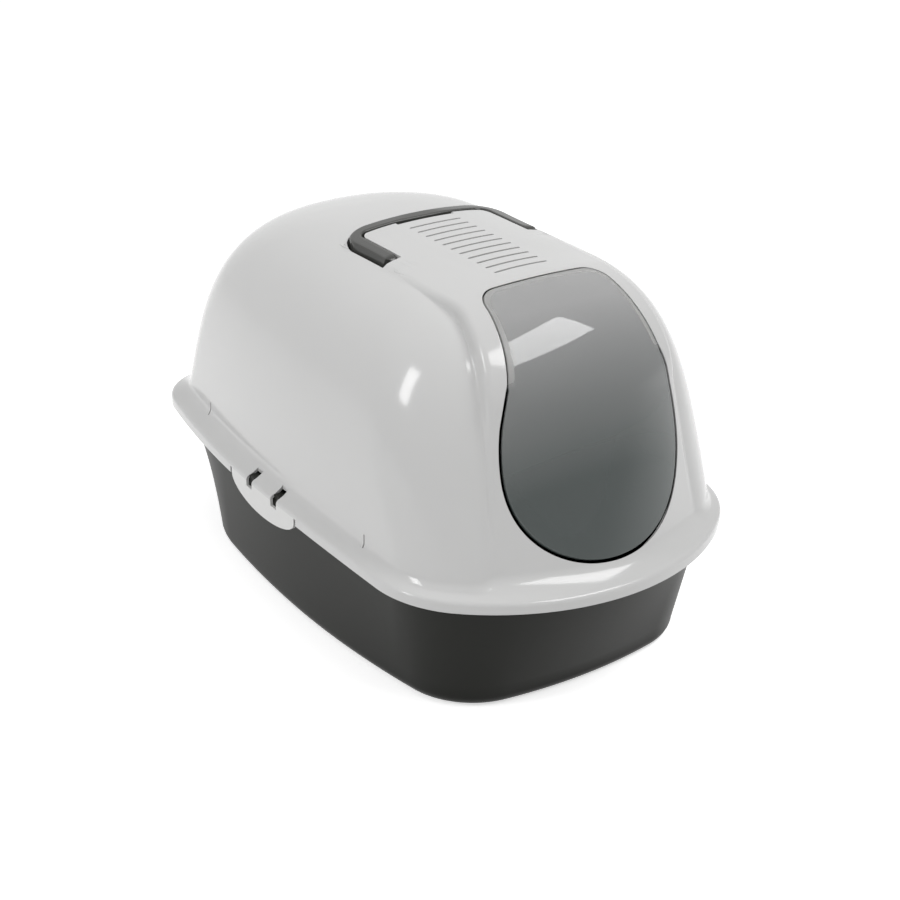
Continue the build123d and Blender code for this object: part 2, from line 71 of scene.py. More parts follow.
class LitterBoxSettings(bpy.types.PropertyGroup):
    """Colours and sizes that a user would change."""

    hood_colour: colour_setting("Hood", (0.59, 0.59, 0.586), "Colour of the hood")
    tray_colour: colour_setting("Tray", (0.010, 0.0105, 0.0085), "Colour of the tray")
    handle_colour: colour_setting("Handle", (0.040, 0.0405, 0.037), "Colour of the carry handle")
    door_tint: colour_setting("Door", (0.13, 0.155, 0.15), "Colour of the smoked door's flap")
    # The door's top colour is a painted reflection: the door grows paler upwards as if it mirrored
    # bright light.
    door_top_painted_reflection: colour_setting("Door top", (0.62, 0.62, 0.62), "Colour of the door at its top")
    door_border: length_setting("Door border", 0.0055, 0.0, 0.02,
                                "Width of the lighter border round the door's upper half")
    vents: bpy.props.IntProperty(name="Vents", description="Number of vents in the roof",
                                 min=1, max=11, default=11)
    vent_length: length_setting("Vent length", 0.052, 0.01, 0.06,
                                "Length of a vent across the roof")
    vent_width: length_setting("Vent width", 0.0026, 0.001, 0.006, "Width of a vent")


# ---- sizes, millimetres ---------------------------------------------------------------------
HALF_WIDTH, HALF_LENGTH, LIP_Z = 170.0, 285.0, 110.5
# Plan outlines: half width, front, back, side's setback at front and back, end's bow at front and
# back, corner's radius at front and back.
LIP = (HALF_WIDTH, HALF_LENGTH, HALF_LENGTH, 4.0, 28.0, 84.0, 28.0, 94.0, 60.0)
DOME_Z, DOME_TOP_Z, FLANGE_WIDTH, APEX_Y, SETBACK = 124.0, 332.5, 13.5, -60.0, 3.0
FRONT_POWER, BACK_POWER, FRONT_LEAN, BACK_LEAN = 3.15, 3.35, 0.65, 0.24
# An end's bow at the top as a share of the half width, and the power of t by which it gets there.
FRONT_BOW, BACK_BOW, TOP_CORNER = (0.02, 0.41), (0.30, 1.6), 0.93
FLANGE_EDGE_Z, FLANGE_SLOPE, FLANGE_EDGE_R = 120.1, math.tan(math.radians(20)), 4.0
ROOF_Z, WALL = 334.0, 2.6
SHOULDER_Y, SHOULDER_Z, TILT = -229.0, 260.0, math.radians(15.7)
SHOULDER_R = (ROOF_Z - SHOULDER_Z) / (1 - math.sin(TILT))
SHOULDER_LENGTH = SHOULDER_R * (math.pi / 2 - TILT)
ROOF_FRONT_Y = SHOULDER_Y + SHOULDER_R * math.cos(TILT)
# The panel's crown radius and half width at places along its centre line.
CROWN = ((0, 80, 140, 300), (380.0, 300.0, 215.0, 165.0))
PANEL_HALF = ((-20, 20, 110, 290), (81.0, 79.0, 91.0, 104.0))
PANEL_EDGE_R, PANEL_BACK_Y = 7.0, 19.8
HEART = np.array((0.0, -20.0, 100.0))         # every ray to the hood's outside starts here


def rounded_outline(x, y, half, front, back, side_front, side_back, bow_front, bow_back,
                    r_front, r_back):
    """Signed distance to a plan outline: side and end arcs joined by a corner circle.

    In the wedge between the corner circle's two tangent radii the distance is to that circle, and
    elsewhere it is the larger of the distances to the side arc and the end arc.
    """
    x, ahead = np.abs(x), y < 0
    y = np.abs(y)
    length = np.where(ahead, front, back)
    side, bow = np.where(ahead, side_front, side_back), np.where(ahead, bow_front, bow_back)
    radius = np.where(ahead, r_front, r_back)
    corner_x, corner_y = half - side, length - bow
    end_r = (corner_x ** 2 + bow ** 2) / (2 * bow)
    side_r = (side ** 2 + corner_y ** 2) / (2 * side)
    sx, ey = half - side_r, length - end_r
    # The corner circle's centre is side_r - radius from (sx, 0) and end_r - radius from (0, ey); of
    # the two such points it is the one further out.
    reach_side, reach_end = side_r - radius, end_r - radius
    gap = np.hypot(sx, ey)
    along = (reach_side ** 2 - reach_end ** 2 + gap ** 2) / (2 * gap)
    off = np.sqrt(np.maximum(reach_side ** 2 - along ** 2, 0.0))
    ux, uy = -sx / gap, ey / gap
    on_x, on_y, off_x, off_y = sx + along * ux, along * uy, off * uy, off * ux
    further = (on_x - off_x) + (on_y + off_y) > (on_x + off_x) + (on_y - off_y)
    cx = np.where(further, on_x - off_x, on_x + off_x)
    cy = np.where(further, on_y + off_y, on_y - off_y)
    to_side = np.hypot(x - sx, y) - side_r
    to_end = np.hypot(x, y - ey) - end_r
    px, py = x - cx, y - cy
    in_wedge = ((cx - sx) * py - cy * px >= 0) & (px * (cy - ey) - py * cx >= 0)
    return np.where(in_wedge, np.hypot(px, py) - radius, np.maximum(to_side, to_end))


def lip_distance(x, y):
    """Distance outside the lip's plan outline, negative inside."""
    return rounded_outline(x, y, *LIP)


def dome_field(x, y, z):
    """Plan distance outside the dome's section at that height.

    Sections shrink with height like a superellipse, (1 - t^p)^(1/p) for a share t of the height;
    the ends lean in by a share of t(1 - t), and bows and corners grow rounder.
    """
    t = np.clip((z - DOME_Z) / (DOME_TOP_Z - DOME_Z), 0.0, 0.9999)
    lean = t * (1 - t)
    base_width, base_length = HALF_WIDTH - FLANGE_WIDTH, HALF_LENGTH - FLANGE_WIDTH
    lip_radius = ((HALF_WIDTH - LIP[3]) ** 2 + LIP[5] ** 2) / (2 * LIP[5])
    base_radius = lip_radius - FLANGE_WIDTH
    base_bow = base_radius - math.sqrt(base_radius ** 2 - (base_width - LIP[3]) ** 2)
    share = (1 - t ** FRONT_POWER) ** (1 / FRONT_POWER)
    width = base_width * share
    front = (base_length - SETBACK + APEX_Y) * (share - FRONT_LEAN * lean)
    back = (base_length - APEX_Y) * ((1 - t ** BACK_POWER) ** (1 / BACK_POWER) - BACK_LEAN * lean)
    flatter, rounder = t ** FRONT_BOW[1], t ** BACK_BOW[1]
    bow_front = share * base_bow * (1 - flatter) + FRONT_BOW[0] * width * flatter
    bow_back = share * LIP[6] * (1 - rounder) + BACK_BOW[0] * width * rounder
    r_front = share * (LIP[7] - FLANGE_WIDTH) * (1 - rounder) + TOP_CORNER * width * rounder
    r_back = share * (LIP[8] - FLANGE_WIDTH) * (1 - rounder) + TOP_CORNER * width * rounder
    r_back = np.minimum(r_back, width - LIP[4] * share)
    plan = rounded_outline(x, y - APEX_Y, width, front, back, LIP[3] * share, LIP[4] * share,
                           bow_front, bow_back, r_front, r_back)
    return np.maximum(plan, z - (DOME_TOP_Z - 1.0))


def panel_place(y, z):
    """Distance along the panel's centre line, and height above it, of points in the YZ plane.

    The line is the flat roof, a circular shoulder and the straight front that tilts back.
    """
    cy, cz = ROOF_FRONT_Y, ROOF_Z - SHOULDER_R
    turn = np.arctan2(z - cz, cy - y)             # 90 degrees up, TILT where the front starts
    s = SHOULDER_R * (math.pi / 2 - turn)
    n = np.hypot(y - cy, z - cz) - SHOULDER_R
    roof = y > cy
    down = (SHOULDER_Z - z) * math.cos(TILT) - (y - SHOULDER_Y) * math.sin(TILT)
    front = ~roof & ((turn < TILT) | (down > 0))
    s = np.where(roof, cy - y, np.where(front, SHOULDER_LENGTH + down, s))
    n_front = -(y - SHOULDER_Y) * math.cos(TILT) + (z - SHOULDER_Z) * math.sin(TILT)
    return s, np.where(roof, z - ROOF_Z, np.where(front, n_front, n))


def panel_field(x, y, z, sink=0.0):
    """Distance outside the raised panel, or outside its copy `sink` further in.

    The section is a crowned top arc and two sides, with a quarter circle at each edge.
    """
    s, n = panel_place(y, z)
    x = np.abs(x)
    crown = np.interp(s, *CROWN) - sink
    half = np.interp(s, *PANEL_HALF) - sink
    n = n + sink
    r = PANEL_EDGE_R
    cx = half - r
    cn = np.sqrt((crown - r) ** 2 - cx ** 2) - crown
    top, side = np.hypot(x, n + crown) - crown, x - half
    in_wedge = (x >= cx) & (cx * (n - cn) - (cn + crown) * (x - cx) <= 0) & (n > cn)
    profile = np.where(in_wedge & (n >= cn), np.hypot(x - cx, n - cn) - r, np.maximum(top, side))
    return np.maximum(profile, y - PANEL_BACK_Y)


def flange_field(x, y, z):
    """Distance outside the flange: a vertical lip and a slope of 20 degrees, with a round edge."""
    inward = -lip_distance(x, y)
    cos = 1 / math.sqrt(1 + FLANGE_SLOPE ** 2)
    slope = (z - FLANGE_EDGE_Z - FLANGE_SLOPE * inward) * cos
    r = FLANGE_EDGE_R
    cz = FLANGE_EDGE_Z + FLANGE_SLOPE * r - r / cos
    pq, pz = inward - r, z - cz
    # Wedge between the lip's outward normal (-1, 0) and the slope's (-sin, cos).
    in_wedge = (pz >= 0) & (pq * cos + pz * FLANGE_SLOPE * cos <= 0)
    return np.where(in_wedge, np.hypot(pq, pz) - r, np.maximum(-inward, slope))


def reach(field, rays, far=420.0, steps=26):
    """Distance along each ray from HEART at which the field turns positive, by halving."""
    near, far = np.full(rays.shape[:-1], 5.0), np.full(rays.shape[:-1], far)
    for _ in range(steps):
        middle = (near + far) / 2
        outside = field(*np.moveaxis(HEART + rays * middle[..., None], -1, 0)) > 0
        far, near = np.where(outside, middle, far), np.where(outside, near, middle)
    return (near + far) / 2


def smooth_max(a, b, k):
    """Larger of two values with a rounded changeover k wide."""
    h = np.maximum(k - np.abs(a - b), 0.0) / k
    return np.maximum(a, b) + h * h * k * 0.25


VALLEY_DEPTH, VALLEY_WIDTH, VALLEY_START, VALLEY_FULL = 3.2, 9.0, -60.0, -10.0
PANEL_BLEND, FLANGE_COVE = 6.0, 16.0


def dome_reach(rays):
    """Distance to the dome, sunk in a soft valley beside the panel and under it.

    The valley is a bell curve of the distance from the panel's side, and fades out along the roof.
    """
    distance = reach(dome_field, rays)
    x, y, z = np.moveaxis(HEART + rays * distance[..., None], -1, 0)
    s, _ = panel_place(y, z)
    aside = np.maximum(np.abs(x) - np.interp(s, *PANEL_HALF), 0)
    bell = np.exp(-(aside / VALLEY_WIDTH) ** 2)
    return distance - VALLEY_DEPTH * bell * np.interp(s, (VALLEY_START, VALLEY_FULL), (0, 1))


def hood_reach(rays):
    """Distance to the hood's outside: dome and panel blended, then the flange with a cove."""
    body = smooth_max(dome_reach(rays), reach(panel_field, rays), PANEL_BLEND)
    return smooth_max(body, reach(flange_field, rays), FLANGE_COVE)


# Rays fan out round AXIS, which goes through the door's middle; SIDE and OVER stand square to it.
AXIS = np.array((0.0, -0.807032, 0.590511))
SIDE = np.array((1.0, 0.0, 0.0))
OVER = np.array((0.0, 0.590511, 0.807032))
COLUMNS, OPENING_TIP, LIP_TIP = 560, 1.3, (0.35, 2.7)    # tips bracket the opening and the lip
CUT = np.array((0.0, -1.0, 1.0)) / math.sqrt(2)   # way the opening is cut, out of the sloping plane
ROW_HEIGHTS = (138.0, 125.0, 121.3, 117.0)    # rows that run level: wall, cove, slope, lip's edge
CREASE_BEFORE, CREASE_AFTER = (0.036, 0.6), (0.030, 0.5)   # closer rows: a tip, or a share of one
RIM_RADII, EDGE_RADII = (0.8, 0.5), (0.7, 0.5)


def fan(turn, tip):
    """Unit rays that lean by `tip` from AXIS, towards SIDE turned by `turn` to OVER."""
    ahead, aside, over = np.cos(tip), np.sin(tip) * np.cos(turn), np.sin(tip) * np.sin(turn)
    return ahead[..., None] * AXIS + aside[..., None] * SIDE + over[..., None] * OVER


def on_hood(turn, tip):
    """Points of the hood's outside on the rays of a fan."""
    rays = fan(turn, tip)
    return HEART + rays * hood_reach(rays)[..., None]


def halve(beyond, low, high, steps=20):
    """Value per column at which `beyond` turns true, by halving the interval from low to high."""
    for _ in range(steps):
        middle = (low + high) / 2
        past = beyond(middle)
        high, low = np.where(past, middle, high), np.where(past, low, middle)
    return (low + high) / 2


# ---- door opening ---------------------------------------------------------------------------
# Drawn in the plane that faces up and forward at 45 degrees; v runs up that plane.
OPENING_TOP, OPENING_CORNER = 133.0, 17.0
OPENING_V = (-8.0, 50.0, 91.0, 133.0)
OPENING_HALF = (88.5, 75.0, 66.0, 60.0)
OPENING_SLOPE_BELOW = (0.0, -0.5)
OPENING_SLOPE_ABOVE = (-0.3, -0.18, -0.05)
OPENING_DROP = 85.5


def hermite(v, v0, v1, x0, x1, m0, m1):
    """Cubic through (v0, x0) and (v1, x1) with slopes m0 and m1."""
    t, span = np.clip((v - v0) / (v1 - v0), 0.0, 1.0), v1 - v0
    return ((2 * t - 3) * t * t + 1) * x0 + ((t - 2) * t + 1) * t * span * m0 \
        + (3 - 2 * t) * t * t * x1 + (t - 1) * t * t * span * m1


def opening_half(v, gap=0.0):
    """Half width of the opening at v: an ellipse at the bottom, then three cubics upwards."""
    vs, xs, up = OPENING_V, OPENING_HALF, OPENING_SLOPE_ABOVE
    flap = hermite(v, vs[0], vs[1], xs[0], xs[1], *OPENING_SLOPE_BELOW) - gap
    low_visor = hermite(v, vs[1], vs[2], xs[1], xs[2], up[0], up[1]) - gap
    visor = hermite(v, vs[2], vs[3], xs[2], xs[3], up[1], up[2]) - gap
    sink = np.clip((vs[0] - v) / (OPENING_DROP - gap), 0.0, 1.0)
    bowl = (xs[0] - gap) * np.sqrt(1 - sink ** 2)
    upper = np.where(v < vs[2], low_visor, visor)
    return np.where(v < vs[0], bowl, np.where(v < vs[1], flap, upper))


def opening_margin(x, v, gap=0.0):
    """Rough distance outside the opening's outline: sides, top and the two round top corners."""
    x, corner = np.abs(x), OPENING_CORNER - gap
    aside, above = x - opening_half(v, gap), v - (OPENING_TOP - gap)
    below = (OPENING_V[0] - OPENING_DROP + gap) - v
    rounded = np.hypot(np.maximum(aside + corner, 0), np.maximum(above + corner, 0)) - corner
    return np.maximum(np.where(v > OPENING_TOP - OPENING_CORNER, rounded, aside), below)


def up_slope(points):
    """v of points in space."""
    return (points[..., 1] + points[..., 2]) / math.sqrt(2)


# ---- surfaces -------------------------------------------------------------------------------
def grid_normals(points):
    """Unit normals of a grid whose columns join up: cross product of its differences both ways."""
    down = np.gradient(points, axis=0)
    along = np.roll(points, -1, axis=1) - np.roll(points, 1, axis=1)
    normal = np.cross(down, along)
    return normal / np.linalg.norm(normal, axis=-1, keepdims=True)


def spread(start, end, count):
    """Values per column in even steps from start, which is left out, to end."""
    return start + (end - start) * np.linspace(0, 1, count + 1)[1:, None]


def rolled(edge, outward, normal, thickness, radii, steps=3):
    """Rows round a wall's edge: a quarter circle out of each face, with the flat edge between them.

    `outward` points out of the wall's end and `normal` across its thickness.
    """
    out_r, in_r = radii
    angle = np.linspace(0, np.pi / 2, steps + 1)[:, None, None]
    first = edge - out_r * ((1 - np.sin(angle)) * outward + (1 - np.cos(angle)) * normal)
    second = edge - in_r * ((1 - np.cos(angle)) * outward + (np.sin(angle) - 1) * normal) \
        - thickness * normal
    return np.concatenate((first, second))


def hood_points():
    """The hood's wall as one closed grid, a ring of columns round the door opening.

    Rows start at the opening and run over the panel's edge and the dome down to the lip, where they
    roll over and come back on the inside, which lies WALL below the outside along its normals.
    """
    turn = np.linspace(0, 2 * np.pi, COLUMNS, endpoint=False)
    zeros, ones = np.zeros(COLUMNS), np.ones(COLUMNS)

    def height(z):
        return halve(lambda tip: on_hood(turn, tip)[:, 2] < z, LIP_TIP[0] * ones, LIP_TIP[1] * ones)

    def in_the_open(tip):
        points = on_hood(turn, tip)
        return opening_margin(points[:, 0], up_slope(points)) > 0

    def off_the_panel(tip):
        rays = fan(turn, tip)
        return dome_reach(rays) > reach(panel_field, rays)

    opening = halve(in_the_open, zeros, OPENING_TIP * ones)
    rim_edge = on_hood(turn, opening)
    wall, cove, slope, edge, lip = (height(z) for z in (*ROW_HEIGHTS, LIP_Z))
    wall = np.maximum(wall, opening + 0.03)
    start = opening + RIM_RADII[0] / np.linalg.norm(rim_edge - HEART, axis=-1)
    # Rows stand closer where the panel's side meets the dome.
    crease = np.clip(halve(off_the_panel, start, wall), start + 0.012, wall - 0.004)
    before = crease - np.minimum(CREASE_BEFORE[0], CREASE_BEFORE[1] * (crease - start))
    after = crease + np.minimum(CREASE_AFTER[0], CREASE_AFTER[1] * (wall - crease))
    tips = np.concatenate((
        start[None], spread(start, before, 22), spread(before, crease, 9), spread(crease, after, 6),
        spread(after, wall, 44), spread(wall, cove, 10), spread(cove, slope, 4),
        spread(slope, edge, 8), spread(edge, lip, 3)))
    outside = on_hood(turn[None], tips)
    normal = grid_normals(outside)
    toward_opening = rim_edge - outside[0]
    toward_opening /= np.linalg.norm(toward_opening, axis=-1, keepdims=True)
    slant = normal[0] @ CUT
    rim = rolled(rim_edge, toward_opening, CUT, (WALL / slant)[:, None], RIM_RADII)
    level = normal[-1] * (1.0, 1.0, 0.0)
    level /= np.linalg.norm(level, axis=-1, keepdims=True)
    hem = rolled(outside[-1], np.array((0.0, 0.0, -1.0)), level, WALL, EDGE_RADII)
    fewer = np.r_[3:22:4, 24, 30, 36, 40:82:4, 84:len(tips) - 1]
    inside = (outside - WALL * normal)[fewer]
    return np.concatenate((rim[::-1], outside[1:-1], hem, inside[::-1]))


# ---- meshes ---------------------------------------------------------------------------------
def volume(points, faces):
    """Signed volume inside faces: the sum of the tetrahedra from the origin to their triangles."""
    fans = np.array([(face[0], *pair) for face in faces for pair in zip(face[1:], face[2:])])
    a, b, c = (points[fans[:, i]] for i in range(3))
    return np.einsum("ij,ij->i", a, np.cross(b, c)).sum() / 6


def build(name, points, faces):
    """Mesh object from millimetre points and lists of faces, turned outwards and shaded smooth."""
    points = np.asarray(points, dtype=float).reshape(-1, 3)
    if volume(points, faces) < 0:
        faces = [face[::-1] for face in faces]
    mesh = bpy.data.meshes.new(name)
    mesh.from_pydata((points * MM).tolist(), [], faces)
    mesh.validate()
    shade(mesh)
    piece = bpy.data.objects.new(name, mesh)
    bpy.context.scene.collection.objects.link(piece)
    return piece


def shade(mesh, crisp=35.0):
    """Shades a mesh smooth, except across edges that turn by more than `crisp` degrees."""
    mesh.polygons.foreach_set("use_smooth", np.ones(len(mesh.polygons), dtype=bool))
    mesh.set_sharp_from_angle(angle=math.radians(crisp))


def quads(rows, columns, close_rows, close_columns):
    """Corner numbers of a grid's quads; either way may close on itself."""
    index = np.arange(rows * columns).reshape(rows, columns)
    if close_rows:
        index = np.vstack((index, index[:1]))
    if close_columns:
        index = np.hstack((index, index[:, :1]))
    corners = (index[:-1, :-1], index[:-1, 1:], index[1:, 1:], index[1:, :-1])
    return np.stack(corners, axis=-1).reshape(-1, 4)


def ring(name, points):
    """Closed ring of a grid whose rows and columns both join up."""
    return build(name, points, quads(*points.shape[:2], True, True).tolist())


def tube(name, points):
    """Grid whose columns join up, with its first and last row closed by a flat face."""
    rows, columns = points.shape[:2]
    faces = quads(rows, columns, False, True).tolist()
    faces.append(list(range(columns))[::-1])
    faces.append(list(range((rows - 1) * columns, rows * columns)))
    return build(name, points, faces)


def carved(target, tool, operation):
    """Joins a tool to a piece or takes it away; the result becomes the piece's mesh."""
    step = target.modifiers.new("step", "BOOLEAN")
    step.operation, step.solver, step.object = operation, "EXACT", tool
    graph = bpy.context.evaluated_depsgraph_get()
    mesh = bpy.data.meshes.new_from_object(target.evaluated_get(graph))
    target.modifiers.clear()
    old, target.data = target.data, mesh
    bpy.data.meshes.remove(old)
    bpy.data.objects.remove(tool)
    return target


def together(name, *parts):
    """One object from several closed pieces that don't touch each other."""
    mesh = bpy.data.meshes.new(name)
    whole = bmesh.new()
    for part in parts:
        whole.from_mesh(part.data)
        bpy.data.objects.remove(part)
    whole.to_mesh(mesh)
    whole.free()
    joined = bpy.data.objects.new(name, mesh)
    bpy.context.scene.collection.objects.link(joined)
    return joined


def prism(name, outline, axis, low, high):
    """Outline carried straight along axis 0, 1 or 2, drawn in the other two."""
    outline = np.asarray(outline, dtype=float)
    ends = [np.insert(outline, axis, level, axis=1) for level in (low, high)]
    return tube(name, np.stack(ends))


def block(name, x, y, z):
    """Box from pairs of limits."""
    return prism(name, [(x[0], y[0]), (x[1], y[0]), (x[1], y[1]), (x[0], y[1])], 2, *z)


def arc(centre, radius, start, end, steps):
    """Points of a circle's arc between two angles in degrees."""
    angle = np.radians(np.linspace(start, end, steps + 1))
    return np.asarray(centre) + radius * np.stack((np.cos(angle), np.sin(angle)), axis=-1)


# ---- handle and its pocket ------------------------------------------------------------------
HANDLE_OUTER, HANDLE_ARM, HANDLE_BACK_Y, HANDLE_BAR = 80.5, 15.0, 33.0, 11.0
HANDLE_TOP_Z, HANDLE_BAR_HEIGHT, HANDLE_LOW_Z = 335.5, 8.5, 316.0
HANDLE_CORNER, HANDLE_CROWN, HANDLE_BEND, HANDLE_LEAN = 30.0, 430.0, 10.0, 4.0
HANDLE_EDGE, ARM_SHARE = 1.6, 0.3             # the arm's lean starts that share of the corner down
PEG_Y, PEG_Z, PEG_R, PEG_REACH, ARM_END_R, ARM_END_SKEW = -34.0, 321.5, 3.0, 5.0, 8.5, 5.0
POCKET_GAP, POCKET_SIDE_GAP, POCKET_SIDE = 1.9, 1.4, 1.6
SCOOP_HALF, SCOOP_REACH, SCOOP_FLOOR_Z, SCOOP_R = 29.0, 6.5, 309.0, 5.0
ARM_INNER = HANDLE_OUTER - HANDLE_ARM


def horseshoe(half, back, radius, front, arm_steps=14, bend_steps=14, bar_steps=24):
    """Plan line of a U open to the front: left arm, round corner, bar, round corner, right arm."""
    arm = np.linspace(front, back - radius, arm_steps + 1)[:-1]
    left = np.stack((np.full_like(arm, -half), arm), axis=-1)
    bend = arc((radius - half, back - radius), radius, 180, 90, bend_steps)
    bar = np.linspace(radius - half, half - radius, bar_steps + 1)[1:-1]
    middle = np.stack((bar, np.full_like(bar, back)), axis=-1)
    first = np.concatenate((left, bend))
    return np.concatenate((first, middle, first[::-1] * (-1, 1)))


def pocket_floor(y, grow):
    """Height of the pocket's floor: round about the pegs, then straight up to the bar."""
    radius = ARM_END_R + POCKET_GAP + grow
    front, back = HANDLE_BACK_Y - HANDLE_BAR, HANDLE_LOW_Z - POCKET_GAP - grow
    rise = np.interp(y, (PEG_Y, front), (PEG_Z - radius, back))
    curl = PEG_Z - np.sqrt(np.maximum(radius ** 2 - np.minimum(y - PEG_Y, 0) ** 2, 0))
    return np.where(y < PEG_Y, curl, rise)


def roof_height(x, y):
    """Height of the hood's outside above points in plan."""
    low, high = np.full(x.shape, 200.0), np.full(x.shape, 345.0)
    for _ in range(22):
        middle = (low + high) / 2
        inside = np.minimum(dome_field(x, y, middle), panel_field(x, y, middle)) < 0
        low, high = np.where(inside, middle, low), np.where(inside, high, middle)
    return (low + high) / 2


def trough(name, grow, top):
    """U-shaped trough between two horseshoes, from the pocket's floor up to `top`.

    The pocket's own size is `grow` 0; the wall round it is the same trough grown by the wall.
    """
    front = PEG_Y - ARM_END_R - POCKET_GAP - grow + 0.02
    wide, deep = POCKET_SIDE + grow, POCKET_GAP + grow
    outer = horseshoe(HANDLE_OUTER + wide, HANDLE_BACK_Y + deep, HANDLE_CORNER + wide, front)
    inner = horseshoe(ARM_INNER - POCKET_SIDE_GAP - grow, HANDLE_BACK_Y - HANDLE_BAR - deep,
                      HANDLE_BEND, front)
    lines = [np.column_stack((line, pocket_floor(line[:, 1], grow))) for line in (inner, outer)]
    for share in np.linspace(1, 0, 9):
        line = inner + (outer - inner) * share
        height = np.maximum(top(line[:, 0], line[:, 1]), pocket_floor(line[:, 1], grow) + 0.2)
        lines.append(np.column_stack((line, height)))
    return tube(name, np.stack(lines, axis=1))


def scoop(name, grow, top):
    """Finger scoop in front of and under the bar: a rounded trough across the middle."""
    front = HANDLE_BACK_Y - HANDLE_BAR - SCOOP_REACH - grow
    back, floor, r = HANDLE_BACK_Y + POCKET_GAP + grow, SCOOP_FLOOR_Z - grow, SCOOP_R
    section = np.concatenate((arc((front + r, floor + r), r, 180, 270, 6),
                              arc((back - r, floor + r), r, 270, 360, 6)))
    ends = np.array((back, front))
    rows = []
    for across in np.linspace(-SCOOP_HALF - grow, SCOOP_HALF + grow, 9):
        row = np.concatenate((section, np.column_stack((ends, top(np.full(2, across), ends)))))
        rows.append(np.insert(row, 0, across, axis=1))
    return tube(name, np.stack(rows))


# ---- door -----------------------------------------------------------------------------------
DOOR_THICKNESS, DOOR_GAP_TOP, DOOR_GAP_BOTTOM, DOOR_GAP_STEP = 2.4, 1.2, 2.6, 4.0
DOOR_MIDDLE_V = 22.0
# Where the border fades in, and where the paler top, a painted reflection of bright light on the
# door's upward-facing top, starts and is full, up the sloping plane.
BORDER_V, PAINTED_REFLECTION_V, BORDER_SOFT = (46.0, 54.0), (-30.0, 100.0), 1.6


def on_panel(x, v):
    """Points of the panel's crowned surface straight in from (x, v) in the sloping plane."""
    near, far = np.full(np.shape(x), 225.0), np.full(np.shape(x), 420.0)
    for _ in range(24):
        w = (near + far) / 2
        y, z = (v - w) / math.sqrt(2), (v + w) / math.sqrt(2)
        s, n = panel_place(y, z)
        crown = np.interp(s, *CROWN)
        outside = n + crown - np.sqrt(crown ** 2 - x ** 2) > 0
        far, near = np.where(outside, w, far), np.where(outside, near, w)
    return np.stack((x, (v - near) / math.sqrt(2), (v + near) / math.sqrt(2)), axis=-1)


def door_gap(v):
    """Room round the door: narrow round the visor and wider round the flap, by a smooth step."""
    t = np.clip((OPENING_V[1] - v) / DOOR_GAP_STEP, 0, 1)
    return DOOR_GAP_TOP + (DOOR_GAP_BOTTOM - DOOR_GAP_TOP) * t * t * (3 - 2 * t)


def door_points(columns=320, rings=40):
    """The door's sheet as a closed grid in polar order, and its points' distances from its edge.

    Each spoke runs in the sloping plane from the middle to the outline, found by halving: the outer
    face, the rolled edge, then the inner face back to the middle.
    """
    turn = np.linspace(0, 2 * np.pi, columns, endpoint=False)

    def at(distance):
        return distance * np.cos(turn), DOOR_MIDDLE_V + distance * np.sin(turn)

    def past_edge(distance):
        x, v = at(distance)
        return opening_margin(x, v, door_gap(v)) > 0

    edge = halve(past_edge, np.zeros(columns), 140.0 * np.ones(columns))
    shares = np.concatenate((np.linspace(0.004, 0.9, rings), np.linspace(0.9, 1, 9)[1:]))[:, None]
    distance = shares * (edge - EDGE_RADII[0])
    outside = on_panel(*at(distance))
    normal = grid_normals(outside)
    rim = on_panel(*at(edge))
    outward = rim - outside[-1]
    outward /= np.linalg.norm(outward, axis=-1, keepdims=True)
    slant = normal[-1] @ CUT
    turned = rolled(rim, outward, CUT, (DOOR_THICKNESS / slant)[:, None], EDGE_RADII)
    inside = (outside - DOOR_THICKNESS * normal)[:-1][::-3]
    inset = edge - distance
    inset = np.concatenate((inset, np.zeros((len(turned), columns)), inset[:-1][::-3]))
    return np.concatenate((outside, turned, inside)), inset


